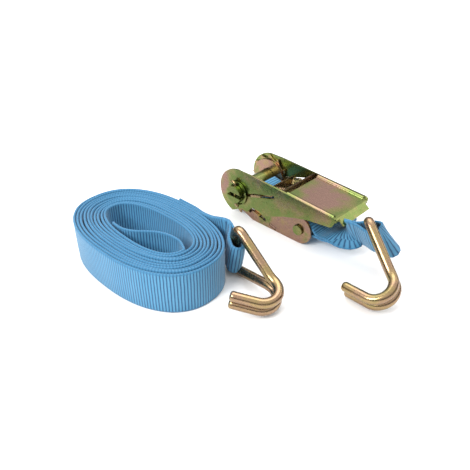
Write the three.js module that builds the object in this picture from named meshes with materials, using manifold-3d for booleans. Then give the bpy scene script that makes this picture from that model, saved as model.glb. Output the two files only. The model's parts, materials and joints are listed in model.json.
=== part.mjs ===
// Ratchet tie down for 25 mm webbing: a ratchet buckle with a short strap and hook, and a long
// strap wound into a coil with its own hook, lying beside each other on one surface.
// Millimetres, +Z up. +X runs from the spindle towards the grip end of the handle, +Y is the far side.
import * as THREE from 'three';
import { mergeVertices } from 'three/addons/utils/BufferGeometryUtils.js';
import Module from 'manifold-3d';

const wasm = await Module();
wasm.setup();

// ---- Driving dimensions -----------------------------------------------------------------------
const gap = 0.3;                   // clearance between neighbouring pieces
const sheet = 1.2;                 // thickness of the stamped steel
const webbingWidth = 25;
const webbingThickness = 1.6;
const frameInnerHalf = 12.9;       // half the space between the side plates
const spindleHeight = 18;          // spindle axis above the surface that the buckle lies on
const shaftRadius = 6;
const halfShaftFlat = 1.3;         // from the axis to the flat of each half shaft
const toothTipRadius = 15.5;
const toothRootRadius = 13;
const toothCount = 12;
const frameEndRadius = 12.8;       // round end of the side plates at the spindle
const boltDistance = 48.1;         // spindle axis to anchor bolt
const boltHeight = 9.6;
const boltShankRadius = 2.6;
const boltHeadRadius = 3.5;
const boltHeadHeight = 1.2;
const boltEndRadius = 9.3;
const sleeveRadius = 4.6;
const handleEndRadius = 16;
const pawlAngle = 17 * Math.PI / 180;       // direction in which the handle pawl slides
const framePawlAngle = -18 * Math.PI / 180; // direction in which the frame pawl slides
const pawlTipRadius = toothTipRadius + gap; // both pawls ride on the tooth tips
const framePawlDrop = 6;           // how far the frame pawl's line passes below the spindle axis
const pawlThickness = 1.5;
const springRadius = 2.6;
const prongRadius = 1.1;
const prongOffset = 7;             // each spring's distance from the middle plane
const wireRadius = 2.8;            // hook wire
const hookBarHalf = 15.5;          // half the hook's width over its bar, wire centre to middle
const hookLeg = 32;                // bar to the start of the bend
const hookBend = 9;                // centre-line radius of the bend
const hookTurn = 143 * Math.PI / 180;
const hookTip = 14.5;
const hookPitch = 13.4 * Math.PI / 180;   // a hook lies on its lower bar corner, bend and tip
const hookRoll = 15.7 * Math.PI / 180;
const coilCentre = [-1.5, -90.5];
const coilHalfLength = 50;
const coilHalfWidth = 31;
const coilBand = 17.5;             // thickness of all the turns together

// The stack of plates on the spindle, from the middle plane outwards.
const frameOuter = frameInnerHalf + sheet;
const wheelInner = frameOuter + gap;
const wheelOuter = wheelInner + sheet;
const flangeInner = wheelOuter + gap;
const flangeOuter = flangeInner + sheet;
const washerInner = flangeOuter + gap;
const washerThickness = 1;
const pinCentre = washerInner + washerThickness + gap + 1;
const spindleHalfLength = pinCentre + 2;

// ---- Materials ----------------------------------------------------------------------------------
function finish(colour, roughness, metalness) {
  return new THREE.MeshStandardMaterial({ color: colour, roughness, metalness });
}
const zincGreen = finish(0x9a9a55, 0.35, 0.9);
const zincPink = finish(0xb08a80, 0.35, 0.9);
const zincGold = finish(0xc8aa6c, 0.3, 0.9);
const springSteel = finish(0xb89a50, 0.3, 0.9);
const webbingBlue = finish(0x3f9fd0, 0.85, 0);

// ---- Solid helpers ------------------------------------------------------------------------------
function solid(geometry) {
  const bare = geometry.index ? geometry.toNonIndexed() : geometry.clone();
  bare.deleteAttribute('normal');
  bare.deleteAttribute('uv');
  const merged = mergeVertices(bare, 1e-4);
  const vertProperties = new Float32Array(merged.attributes.position.array);
  const triVerts = new Uint32Array(merged.index.array);
  return new wasm.Manifold(new wasm.Mesh({ numProp: 3, vertProperties, triVerts }));
}

function geometryOf(manifold) {
  const mesh = manifold.getMesh();
  const geometry = new THREE.BufferGeometry();
  geometry.setAttribute('position', new THREE.BufferAttribute(mesh.vertProperties, 3));
  geometry.setIndex(new THREE.BufferAttribute(mesh.triVerts, 1));
  return geometry;
}

function joined(...solids) {
  return solids.reduce((whole, next) => whole.add(next));
}

// An outline drawn in X and Z, made solid between two Y planes.
function plateXZ(shape, yLow, yHigh, curveSegments = 10) {
  const points = shape.getPoints(curveSegments);
  if (THREE.ShapeUtils.isClockWise(points)) points.reverse();
  const outline = new THREE.Shape(points);
  outline.holes = shape.holes;
  const geometry = new THREE.ExtrudeGeometry(outline, {
    depth: yHigh - yLow, bevelEnabled: false, curveSegments,
  });
  geometry.rotateX(Math.PI / 2);
  geometry.translate(0, yHigh, 0);
  return solid(geometry);
}

// A round bar along Y.
function barY(x, z, radius, yLow, yHigh, sides = 20) {
  const geometry = new THREE.CylinderGeometry(radius, radius, yHigh - yLow, sides);
  geometry.translate(x, (yLow + yHigh) / 2, z);
  return solid(geometry);
}

function block(width, depth, height, place) {
  const geometry = new THREE.BoxGeometry(width, depth, height);
  geometry.applyMatrix4(place);
  return solid(geometry);
}

// A frame of reference that lies on the line of a pawl: x along the slide, z square to it.
function pawlPlace(angle, drop, along, across = 0) {
  const place = new THREE.Matrix4().makeTranslation(0, 0, spindleHeight);
  place.multiply(new THREE.Matrix4().makeRotationY(-angle));
  place.multiply(new THREE.Matrix4().makeTranslation(along, across, -drop));
  return place;
}

function rodAlong(angle, drop, y, radius, from, to, sides = 8) {
  const geometry = new THREE.CylinderGeometry(radius, radius, to - from, sides);
  geometry.rotateZ(Math.PI / 2);
  geometry.applyMatrix4(pawlPlace(angle, drop, (from + to) / 2, y));
  return solid(geometry);
}

function tubeAlong(curve, radius, sides, steps) {
  const section = new THREE.Shape();
  section.absarc(0, 0, radius, 0, 2 * Math.PI, false);
  return new THREE.ExtrudeGeometry(section, {
    steps, curveSegments: sides, bevelEnabled: false, extrudePath: curve,
  });
}

// ---- Frame --------------------------------------------------------------------------------------
function slotOutline(angle, drop, from, to, halfHeight) {
  const corners = [[from, -halfHeight], [to, -halfHeight], [to, halfHeight], [from, halfHeight]];
  const place = pawlPlace(angle, drop, 0);
  const points = corners.map(([along, up]) => new THREE.Vector3(along, 0, up).applyMatrix4(place));
  return new THREE.Path(points.map((point) => new THREE.Vector2(point.x, point.z)));
}

const framePawlSlot = { from: 10.5, to: 25, half: pawlThickness / 2 + gap };
const crossPlateSlot = { from: 28.3, to: 33.9, half: 1.1 };

function framePlateOutline() {
  const shape = new THREE.Shape();
  const upper = 100 * Math.PI / 180;
  shape.moveTo(boltDistance, boltHeight - boltEndRadius);
  shape.absarc(boltDistance, boltHeight, boltEndRadius, -Math.PI / 2, upper, false);
  shape.lineTo(frameEndRadius + 1.5, spindleHeight - 1.6);
  shape.absarc(0, spindleHeight, frameEndRadius, 0, 1.42 * Math.PI, false);
  shape.lineTo(11, boltHeight - boltEndRadius);
  const shaftHole = new THREE.Path();
  shaftHole.absarc(0, spindleHeight, shaftRadius + gap, 0, 2 * Math.PI, true);
  const boltHole = new THREE.Path();
  boltHole.absarc(boltDistance, boltHeight, boltShankRadius + gap, 0, 2 * Math.PI, true);
  const pawl = framePawlSlot;
  const seat = crossPlateSlot;
  shape.holes.push(shaftHole, boltHole);
  shape.holes.push(slotOutline(framePawlAngle, framePawlDrop, pawl.from, pawl.to, pawl.half));
  shape.holes.push(slotOutline(framePawlAngle, framePawlDrop, seat.from, seat.to, seat.half));
  return shape;
}

function framePlate(side) {
  const low = side > 0 ? frameInnerHalf : -frameOuter;
  return plateXZ(framePlateOutline(), low, low + sheet);
}

// The cross plate stands in the side plates' rear slots and turns up to carry the frame pawl's springs.
function crossPlate() {
  const seat = crossPlateSlot;
  const middle = (seat.from + seat.to) / 2;
  const length = seat.to - seat.from - 2 * gap;
  const thickness = 2 * (seat.half - gap);
  const ears = block(length, 2 * frameOuter, thickness, pawlPlace(framePawlAngle, framePawlDrop, middle));
  const lipPlace = pawlPlace(framePawlAngle, framePawlDrop, seat.from - 0.35).multiply(
    new THREE.Matrix4().makeTranslation(0, 0, 0.6));
  const lip = block(1.4, 2 * (frameInnerHalf - gap), 6, lipPlace);
  let plate = joined(ears, lip);
  for (const y of [-prongOffset, prongOffset]) {
    const hole = rodAlong(framePawlAngle, framePawlDrop, y, prongRadius + gap, seat.from - 3, seat.to + 2, 10);
    plate = plate.subtract(hole);
  }
  return plate;
}

// ---- Spindle ------------------------------------------------------------------------------------
function wheelOutline() {
  const shape = new THREE.Shape();
  const pitch = 2 * Math.PI / toothCount;
  const firstFace = pawlAngle - 0.293 * pitch;
  for (let tooth = 0; tooth < toothCount; tooth += 1) {
    const face = firstFace - tooth * pitch;
    const steps = [
      [toothRootRadius, 0], [toothTipRadius, -0.05], [toothTipRadius - 0.2, -0.2],
      [toothRootRadius + 0.3, -0.55],
    ];
    for (const [radius, part] of steps) {
      const angle = face + part * pitch;
      const x = radius * Math.cos(angle);
      const z = spindleHeight + radius * Math.sin(angle);
      if (tooth === 0 && part === 0) shape.moveTo(x, z);
      else shape.lineTo(x, z);
    }
  }
  const hole = new THREE.Path();
  hole.absarc(0, spindleHeight, shaftRadius + gap, 0, 2 * Math.PI, true);
  shape.holes.push(hole);
  return shape;
}

function ratchetWheel(side) {
  const low = side > 0 ? wheelInner : -wheelOuter;
  return plateXZ(wheelOutline(), low, low + sheet);
}

function pinPath(side) {
  const y = side * pinCentre;
  const low = spindleHeight - shaftRadius - 2.2;
  const high = spindleHeight + shaftRadius + 2.2;
  return new THREE.CatmullRomCurve3([
    new THREE.Vector3(3.2, y + side * 0.4, low + 0.6),
    new THREE.Vector3(1.2, y, low),
    new THREE.Vector3(0, y, low + 1.8),
    new THREE.Vector3(0, y, spindleHeight),
    new THREE.Vector3(0, y, high - 1.6),
    new THREE.Vector3(-1.4, y, high),
    new THREE.Vector3(-3.2, y, high - 0.4),
  ]);
}

function cotterPin(side) {
  return solid(tubeAlong(pinPath(side), 0.9, 4, 18));
}

function halfShaft(side) {
  const start = Math.asin(halfShaftFlat / shaftRadius);
  const shape = new THREE.Shape();
  if (side > 0) shape.absarc(0, spindleHeight, shaftRadius, start, Math.PI - start, false);
  else shape.absarc(0, spindleHeight, shaftRadius, Math.PI + start, 2 * Math.PI - start, false);
  shape.closePath();
  let shaft = plateXZ(shape, -spindleHalfLength, spindleHalfLength, 14);
  for (const end of [-1, 1]) {
    const hole = new THREE.CylinderGeometry(0.9 + gap, 0.9 + gap, 2 * shaftRadius + 4, 10);
    hole.rotateX(Math.PI / 2);
    hole.translate(0, end * pinCentre, spindleHeight);
    shaft = shaft.subtract(solid(hole));
  }
  return shaft;
}

function washer(side) {
  const low = side > 0 ? washerInner : -washerInner - washerThickness;
  const shape = new THREE.Shape();
  shape.absarc(0, spindleHeight, shaftRadius + 2.4, 0, 2 * Math.PI, false);
  const hole = new THREE.Path();
  hole.absarc(0, spindleHeight, shaftRadius + gap, 0, 2 * Math.PI, true);
  shape.holes.push(hole);
  return plateXZ(shape, low, low + washerThickness);
}

// ---- Handle -------------------------------------------------------------------------------------
const gripStart = 40;
const gripEnd = 75;
const gripSlope = 2.2 / 32;
const lipReach = 3.6;              // the grip plate's end lip turns down and outward
const gripHeight = (x) => 32.4 - (x - gripStart) * gripSlope;
const handlePawlSlot = { from: 8.6, to: 31.5, half: pawlThickness / 2 + gap, drop: 1.2 };

function flangeOutline() {
  const shape = new THREE.Shape();
  shape.absarc(0, spindleHeight, handleEndRadius, 1.4 * Math.PI, 0.5 * Math.PI, true);
  shape.lineTo(9.5, 34);
  shape.lineTo(gripStart, gripHeight(gripStart));
  shape.lineTo(gripEnd - 3, gripHeight(gripEnd - 3));
  shape.quadraticCurveTo(gripEnd + 1, gripHeight(gripEnd), gripEnd - 1, 26);
  shape.quadraticCurveTo(gripEnd - 2, 23.4, 71, 23);
  shape.quadraticCurveTo(59, 21.6, 53, 20.4);
  shape.quadraticCurveTo(40, 17, 30.5, 12.6);
  shape.quadraticCurveTo(25, 10.4, 20.5, 10);
  shape.lineTo(19, 11.2);
  shape.lineTo(12.5, 11.6);
  shape.lineTo(8, 6.4);
  shape.lineTo(3.7, 7.4);
  const hole = new THREE.Path();
  hole.absarc(0, spindleHeight, shaftRadius + gap, 0, 2 * Math.PI, true);
  const slot = handlePawlSlot;
  shape.holes.push(hole, slotOutline(pawlAngle, slot.drop, slot.from, slot.to, slot.half));
  return shape;
}

function gripPlateOutline() {
  const shape = new THREE.Shape();
  const recess = 1;
  const top = (x) => gripHeight(x) - recess;
  shape.moveTo(gripStart - 1, top(gripStart));
  shape.lineTo(gripEnd - 1, top(gripEnd));
  shape.lineTo(gripEnd + lipReach, top(gripEnd) - lipReach);
  shape.lineTo(gripEnd + lipReach - 0.9, top(gripEnd) - lipReach - 0.9);
  shape.lineTo(gripEnd - 1.5, top(gripEnd) - sheet);
  shape.lineTo(gripStart - 1, top(gripStart) - sheet);
  return shape;
}

function gripRidge(side) {
  const start = new THREE.Vector3(gripStart - 1, side * (flangeOuter - 1.9), gripHeight(gripStart) - 1.6);
  const end = new THREE.Vector3(gripEnd - 2.5, side * (flangeOuter - 1.9), gripHeight(gripEnd - 2.5) - 1.6);
  return solid(tubeAlong(new THREE.LineCurve3(start, end), 1.9, 12, 1));
}

function handle() {
  let body = plateXZ(gripPlateOutline(), -flangeInner - 0.2, flangeInner + 0.2);
  for (const side of [-1, 1]) {
    const low = side > 0 ? flangeInner : -flangeOuter;
    body = joined(body, plateXZ(flangeOutline(), low, low + sheet), gripRidge(side));
    const notch = new THREE.Matrix4().makeTranslation(gripEnd + 2.4, side * (flangeInner - 0.2), 27);
    body = body.subtract(block(5, 5.6, 10, notch));
  }
  return body;
}

// ---- Pawls, their seats and springs ---------------------------------------------------------------
const handlePawlLength = 11;
const framePawlLength = 7;
const handleSeatAlong = 38;

function pawlEdge(drop) {
  return Math.sqrt(pawlTipRadius ** 2 - (Math.abs(drop) + pawlThickness / 2) ** 2) + 0.4;
}

function handlePawl() {
  const drop = handlePawlSlot.drop;
  const edge = pawlEdge(drop);
  const place = (along, across = 0) => pawlPlace(pawlAngle, drop, along, across);
  const length = handlePawlLength;
  let pawl = block(length, 2 * (flangeInner - gap), pawlThickness, place(edge + length / 2));
  const earEnd = flangeOuter + 0.9;
  for (const side of [-1, 1]) {
    const root = block(4.5, earEnd - 14, pawlThickness, place(edge + 2.25, side * (earEnd + 14) / 2));
    const earDepth = earEnd - flangeInner;
    const ear = block(8.5, earDepth, pawlThickness, place(edge + 0.25, side * (flangeInner + earDepth / 2)));
    pawl = joined(pawl, root, ear);
    pawl = joined(pawl, rodAlong(pawlAngle, drop, side * prongOffset, prongRadius,
      edge + length - 0.5, handleSeatAlong + 1));
  }
  const pull = place(edge + length - 0.7).multiply(new THREE.Matrix4().makeTranslation(0, 0, 2.4));
  return joined(pawl, block(1.4, 18, 4.8, pull));
}

function handleSeat() {
  const drop = handlePawlSlot.drop;
  const place = pawlPlace(pawlAngle, drop, handleSeatAlong).multiply(
    new THREE.Matrix4().makeTranslation(0, 0, 0.5));
  let seat = block(1.4, 2 * (flangeInner - gap), 8, place);
  for (const y of [-prongOffset, prongOffset]) {
    seat = seat.subtract(rodAlong(pawlAngle, drop, y, prongRadius + gap,
      handleSeatAlong - 2, handleSeatAlong + 2, 10));
  }
  return seat;
}

function framePawl() {
  const drop = framePawlDrop;
  const edge = pawlEdge(drop);
  const place = (along, across = 0) => pawlPlace(framePawlAngle, drop, along, across);
  const length = framePawlLength;
  let pawl = block(length, 2 * (frameInnerHalf - gap), pawlThickness, place(edge + length / 2));
  const ears = block(length - 1.5, 2 * wheelOuter, pawlThickness, place(edge + length / 2 - 0.75));
  pawl = joined(pawl, ears);
  for (const y of [-prongOffset, prongOffset]) {
    pawl = joined(pawl, rodAlong(framePawlAngle, drop, y, prongRadius,
      edge + length - 0.5, crossPlateSlot.from + 2));
  }
  return pawl;
}

function spring(angle, drop, y, from, to) {
  const wall = 0.9;
  const inner = springRadius - wall;
  const half = (to - from) / 2;
  const profile = [
    new THREE.Vector2(inner, -half), new THREE.Vector2(springRadius, -half),
    new THREE.Vector2(springRadius, half), new THREE.Vector2(inner, half),
    new THREE.Vector2(inner, -half),
  ];
  const geometry = new THREE.LatheGeometry(profile, 12);
  geometry.rotateZ(Math.PI / 2);
  geometry.applyMatrix4(pawlPlace(angle, drop, (from + to) / 2, y));
  return solid(geometry);
}

// ---- Anchor bolt ----------------------------------------------------------------------------------
function anchorBolt() {
  const head = barY(boltDistance, boltHeight, boltHeadRadius, -frameOuter - gap - boltHeadHeight, -frameOuter - gap, 20);
  const shank = barY(boltDistance, boltHeight, boltShankRadius, -frameOuter - gap - 0.1, frameOuter + 3.4, 16);
  return joined(head, shank);
}

function anchorNut() {
  const nut = barY(boltDistance, boltHeight, 4.4, frameOuter + gap, frameOuter + gap + 2.6, 6);
  return nut.subtract(barY(boltDistance, boltHeight, boltShankRadius + gap, frameOuter, frameOuter + 4, 16));
}

function anchorSleeve() {
  const half = frameInnerHalf - gap;
  const sleeve = barY(boltDistance, boltHeight, sleeveRadius, -half, half, 18);
  return sleeve.subtract(barY(boltDistance, boltHeight, boltShankRadius + gap, -half - 1, half + 1, 16));
}

// ---- Hooks ----------------------------------------------------------------------------------------
// One wire bent over the bar, both legs drawn together and turned back side by side.
// In the hook's own frame: x along the legs, z along the bar, y away from the bend.
function hookPath() {
  const half = wireRadius + gap / 2 + 0.05;
  const corner = 4.5;
  const path = new THREE.CurvePath();
  const halfPoints = (side) => {
    const at = (x, y, z) => new THREE.Vector3(x, y, side * z);
    const turnEnd = at(hookLeg + hookBend * Math.sin(hookTurn), -hookBend * (1 - Math.cos(hookTurn)), half);
    const tipEnd = turnEnd.clone().add(new THREE.Vector3(
      hookTip * Math.cos(hookTurn), -hookTip * Math.sin(hookTurn), 0));
    return { barEnd: at(0, 0, hookBarHalf - corner), legStart: at(corner, 0, hookBarHalf - 1.6),
      corner: at(0, 0, hookBarHalf), legEnd: at(hookLeg - 3, 0, half + 0.35), bendStart: at(hookLeg, 0, half),
      turnEnd, tipEnd, half };
  };
  const arc = (side, reverse) => {
    const points = [];
    const steps = 12;
    for (let step = 0; step <= steps; step += 1) {
      const angle = hookTurn * step / steps;
      points.push(new THREE.Vector3(
        hookLeg + hookBend * Math.sin(angle), -hookBend * (1 - Math.cos(angle)), side * half));
    }
    return new THREE.CatmullRomCurve3(reverse ? points.reverse() : points);
  };
  const low = halfPoints(-1);
  const high = halfPoints(1);
  path.add(new THREE.LineCurve3(low.tipEnd, low.turnEnd));
  path.add(arc(-1, true));
  path.add(new THREE.QuadraticBezierCurve3(low.bendStart, low.legEnd, low.legEnd.clone().lerp(low.legStart, 0.1)));
  path.add(new THREE.LineCurve3(low.legEnd.clone().lerp(low.legStart, 0.1), low.legStart));
  path.add(new THREE.QuadraticBezierCurve3(low.legStart, low.corner, low.barEnd));
  path.add(new THREE.LineCurve3(low.barEnd, high.barEnd));
  path.add(new THREE.QuadraticBezierCurve3(high.barEnd, high.corner, high.legStart));
  path.add(new THREE.LineCurve3(high.legStart, high.legEnd.clone().lerp(high.legStart, 0.1)));
  path.add(new THREE.QuadraticBezierCurve3(high.legEnd.clone().lerp(high.legStart, 0.1), high.legEnd, high.bendStart));
  path.add(arc(1, false));
  path.add(new THREE.LineCurve3(high.turnEnd, high.tipEnd));
  return path;
}

// Sweeps a round section along the path's own sample points, with the section kept square to it.
function sweepRound(points, radius, sides) {
  const positions = [];
  const index = [];
  const tangents = points.map((point, i) => points[Math.min(i + 1, points.length - 1)].clone()
    .sub(points[Math.max(i - 1, 0)]).normalize());
  let normal = new THREE.Vector3(0, 1, 0);
  if (Math.abs(tangents[0].y) > 0.9) normal.set(0, 0, 1);
  points.forEach((point, i) => {
    normal = normal.clone().sub(tangents[i].clone().multiplyScalar(normal.dot(tangents[i]))).normalize();
    const side = tangents[i].clone().cross(normal);
    for (let k = 0; k < sides; k += 1) {
      const angle = 2 * Math.PI * k / sides;
      const spot = point.clone().addScaledVector(normal, radius * Math.cos(angle))
        .addScaledVector(side, radius * Math.sin(angle));
      positions.push(spot.x, spot.y, spot.z);
    }
  });
  for (let ring = 0; ring < points.length - 1; ring += 1) {
    for (let k = 0; k < sides; k += 1) {
      const a = ring * sides + k;
      const b = ring * sides + (k + 1) % sides;
      index.push(a, b, b + sides, a, b + sides, a + sides);
    }
  }
  const last = (points.length - 1) * sides;
  for (let k = 1; k < sides - 1; k += 1) {
    index.push(0, k + 1, k);
    index.push(last, last + k, last + k + 1);
  }
  const geometry = new THREE.BufferGeometry();
  geometry.setAttribute('position', new THREE.Float32BufferAttribute(positions, 3));
  geometry.setIndex(index);
  return geometry;
}

function hookPoints() {
  const points = [];
  for (const piece of hookPath().curves) {
    const count = piece.isLineCurve3 ? 1 : (piece.isCatmullRomCurve3 ? 12 : 4);
    piece.getPoints(count).forEach((point, i) => {
      if (i > 0 || points.length === 0) points.push(point);
    });
  }
  return points;
}

function hook() {
  return solid(sweepRound(hookPoints(), wireRadius, 12));
}

// Where each hook lies: the middle of its bar, the heading of its legs and its lean.
const hookPlaces = {
  hook_long_strap: {
    x: 40.8, y: -62.8, heading: -5 * Math.PI / 180, roll: 0.2 * hookRoll, neckTurn: -0.44,
  },
  hook_short_strap: {
    x: 93.6, y: -5.6, heading: -38 * Math.PI / 180, roll: 1.7 * hookRoll, neckTurn: -0.35,
  },
};

function hookTurned({ heading, roll }) {
  const turned = new THREE.Matrix4().makeRotationZ(heading);
  turned.multiply(new THREE.Matrix4().makeRotationY(hookPitch));
  return turned.multiply(new THREE.Matrix4().makeRotationX(roll));
}

function hookMatrix(place) {
  const turned = hookTurned(place);
  const heights = hookPoints().map((point) => point.applyMatrix4(turned).z);
  const lowest = Math.min(...heights) - wireRadius;
  return new THREE.Matrix4().makeTranslation(place.x, place.y, gap - lowest).multiply(turned);
}

// ---- Webbing --------------------------------------------------------------------------------------
// A band swept along a list of stations: each has a middle, the direction of the band's width and
// the direction of its thickness.
function band(stations, width, thickness, endWidth = width) {
  const positions = [];
  const index = [];
  const last = stations.length - 1;
  stations.forEach(({ middle, across, normal }, i) => {
    const drawn = width + (endWidth - width) * smooth(i / last);
    for (const [w, t] of [[-0.5, -0.5], [0.5, -0.5], [0.5, 0.5], [-0.5, 0.5]]) {
      const spot = middle.clone().addScaledVector(across, w * drawn).addScaledVector(normal, t * thickness);
      positions.push(spot.x, spot.y, spot.z);
    }
  });
  for (let ring = 0; ring < last; ring += 1) {
    for (let k = 0; k < 4; k += 1) {
      const a = ring * 4 + k;
      const b = ring * 4 + (k + 1) % 4;
      index.push(a, b, b + 4, a, b + 4, a + 4);
    }
  }
  const end = last * 4;
  index.push(0, 2, 1, 0, 3, 2, end, end + 1, end + 2, end, end + 2, end + 3);
  const geometry = new THREE.BufferGeometry();
  geometry.setAttribute('position', new THREE.Float32BufferAttribute(positions, 3));
  geometry.setIndex(index);
  return solid(geometry);
}

function smooth(t) {
  return t * t * (3 - 2 * t);
}

// A loop of webbing in the frame of its own axis (along z). The two layers meet at the neck, on
// the -x side.
function loopRing(innerRadius, width, neck) {
  const outer = innerRadius + webbingThickness;
  const shape = new THREE.Shape();
  shape.moveTo(0, -outer);
  shape.absarc(0, 0, outer, -0.5 * Math.PI, 0.5 * Math.PI, false);
  shape.bezierCurveTo(-outer, outer, -neck * 0.8, webbingThickness, -neck, webbingThickness);
  shape.lineTo(-neck, -webbingThickness);
  shape.bezierCurveTo(-neck * 0.8, -webbingThickness, -outer, -outer, 0, -outer);
  const hole = new THREE.Path();
  hole.absarc(0, 0, innerRadius, 0, 2 * Math.PI, true);
  shape.holes.push(hole);
  const ring = new THREE.ExtrudeGeometry(shape, {
    depth: width, bevelEnabled: false, curveSegments: 8,
  });
  ring.translate(0, 0, -width / 2);
  return solid(ring);
}

const doubled = 2 * webbingThickness - 0.2;
const anchorNeck = 11;
const hookNeck = 11;
const hookLoopRadius = wireRadius + gap + 0.3;
const hookLoopWidth = 21.2;        // the webbing is drawn in between the hook's legs

function ovalPoint(angle, halfLength, halfWidth) {
  const power = 0.86;
  const cos = Math.cos(angle);
  const sin = Math.sin(angle);
  return new THREE.Vector2(
    coilCentre[0] + halfLength * Math.sign(cos) * Math.abs(cos) ** power,
    coilCentre[1] + halfWidth * Math.sign(sin) * Math.abs(sin) ** power,
  );
}

function ovalOutline(halfLength, halfWidth, count) {
  return Array.from({ length: count }, (_, i) => ovalPoint(2 * Math.PI * i / count, halfLength, halfWidth));
}

// The wound turns as one solid of their outer shape, the double sewn end that leaves them, and the
// loop round the hook's bar.
function longStrap() {
  const shape = new THREE.Shape(ovalOutline(coilHalfLength, coilHalfWidth, 48));
  shape.holes.push(new THREE.Path(ovalOutline(coilHalfLength - coilBand, coilHalfWidth - coilBand, 32).reverse()));
  const coil = new THREE.ExtrudeGeometry(shape, { depth: webbingWidth, bevelEnabled: false });
  coil.translate(0, 0, gap);
  const turn = loopMatrix(hookPlaces.hook_long_strap);
  const up = new THREE.Vector3(0, 0, 1);
  const along = new THREE.Vector3(1, 0, 0).transformDirection(turn);
  const bar = new THREE.Vector3(0, 0, 1).transformDirection(turn);
  const loopEnd = new THREE.Vector3(-hookNeck + 0.5, 0, 0).applyMatrix4(turn);
  const start = new THREE.Vector3(coilCentre[0] + 6, coilCentre[1] + coilHalfWidth - 0.4, gap + webbingWidth / 2);
  const curve = new THREE.CubicBezierCurve3(start, start.clone().add(new THREE.Vector3(10, -0.6, 0)),
    loopEnd.clone().addScaledVector(along, -3), loopEnd);
  const tail = band(stationsAlong(curve, 12, up, bar), webbingWidth - 0.2, doubled, hookLoopWidth - 0.2);
  const loop = loopRing(hookLoopRadius, hookLoopWidth, hookNeck).transform(turn.elements);
  return joined(solid(coil), tail, loop);
}

// The loop of a strap round a hook's bar, turned about it.
function loopMatrix(place) {
  return hookMatrix(place).multiply(new THREE.Matrix4().makeRotationZ(place.neckTurn));
}

// Stations for a band along a curve, whose width turns from the first direction to the last one.
function stationsAlong(curve, steps, firstAcross, lastAcross = firstAcross, twistFrom = 0) {
  const squared = (direction, tangent) => direction.clone()
    .addScaledVector(tangent, -direction.dot(tangent)).normalize();
  const endTangent = curve.getTangent(1);
  const endStart = squared(firstAcross, endTangent);
  const endGoal = squared(lastAcross, endTangent);
  const twist = Math.atan2(endStart.clone().cross(endGoal).dot(endTangent), endStart.dot(endGoal));
  return Array.from({ length: steps + 1 }, (_, i) => {
    const t = i / steps;
    const tangent = curve.getTangent(t);
    const share = smooth(Math.max(0, (t - twistFrom) / (1 - twistFrom)));
    const across = squared(firstAcross, tangent).applyAxisAngle(tangent, twist * share);
    return { middle: curve.getPoint(t), across, normal: tangent.clone().cross(across) };
  });
}

// The short strap: a loop round the sleeve of the anchor bolt, a double run that turns on edge on
// its way to the hook, the loop round the hook's bar, and an end that lies inside the frame.
function shortStrap() {
  const anchorTurn = new THREE.Matrix4().makeTranslation(boltDistance, 0, boltHeight);
  anchorTurn.multiply(new THREE.Matrix4().makeRotationX(Math.PI / 2));
  anchorTurn.multiply(new THREE.Matrix4().makeRotationZ(Math.PI - 0.05));
  const anchor = loopRing(sleeveRadius + gap, webbingWidth, anchorNeck).transform(anchorTurn.elements);
  const start = new THREE.Vector3(-anchorNeck + 0.5, 0, 0).applyMatrix4(anchorTurn);
  const startAlong = new THREE.Vector3(-1, 0, 0).transformDirection(anchorTurn);
  const turn = loopMatrix(hookPlaces.hook_short_strap);
  const end = new THREE.Vector3(-hookNeck + 0.5, 0, 0).applyMatrix4(turn);
  const endAlong = new THREE.Vector3(1, 0, 0).transformDirection(turn);
  const bar = new THREE.Vector3(0, 0, 1).transformDirection(turn);
  const curve = new THREE.CatmullRomCurve3([start, start.clone().addScaledVector(startAlong, 3),
    new THREE.Vector3(69, 4.5, 10.4), new THREE.Vector3(76.5, 7, 11),
    end.clone().addScaledVector(endAlong, -2.5), end]);
  const far = new THREE.Vector3(0, 1, 0);
  const stations = stationsAlong(curve, 18, far, bar, 0.45);
  const run = band(stations, webbingWidth - 0.2, doubled, hookLoopWidth - 0.2);
  const hookLoop = loopRing(hookLoopRadius, hookLoopWidth, hookNeck).transform(turn.elements);
  const inner = new THREE.CubicBezierCurve3(
    new THREE.Vector3(boltDistance, 0, boltHeight + sleeveRadius + gap + webbingThickness / 2),
    new THREE.Vector3(36, 0, 19), new THREE.Vector3(24, 0, 13), new THREE.Vector3(8.6, 0, 17.5));
  const flap = band(stationsAlong(inner, 10, far), webbingWidth - 0.4, webbingThickness - 0.2);
  const underLip = new THREE.Matrix4().makeTranslation(gripEnd - 3.2, 0, 22.6 + 10);
  return joined(anchor, run, hookLoop, flap).subtract(block(14.8, 50, 20, underLip));
}

const group = new THREE.Group();
function add(name, manifold, material, matrix) {
  const mesh = new THREE.Mesh(geometryOf(manifold), material);
  mesh.name = name;
  if (matrix) mesh.applyMatrix4(matrix);
  group.add(mesh);
}

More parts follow.
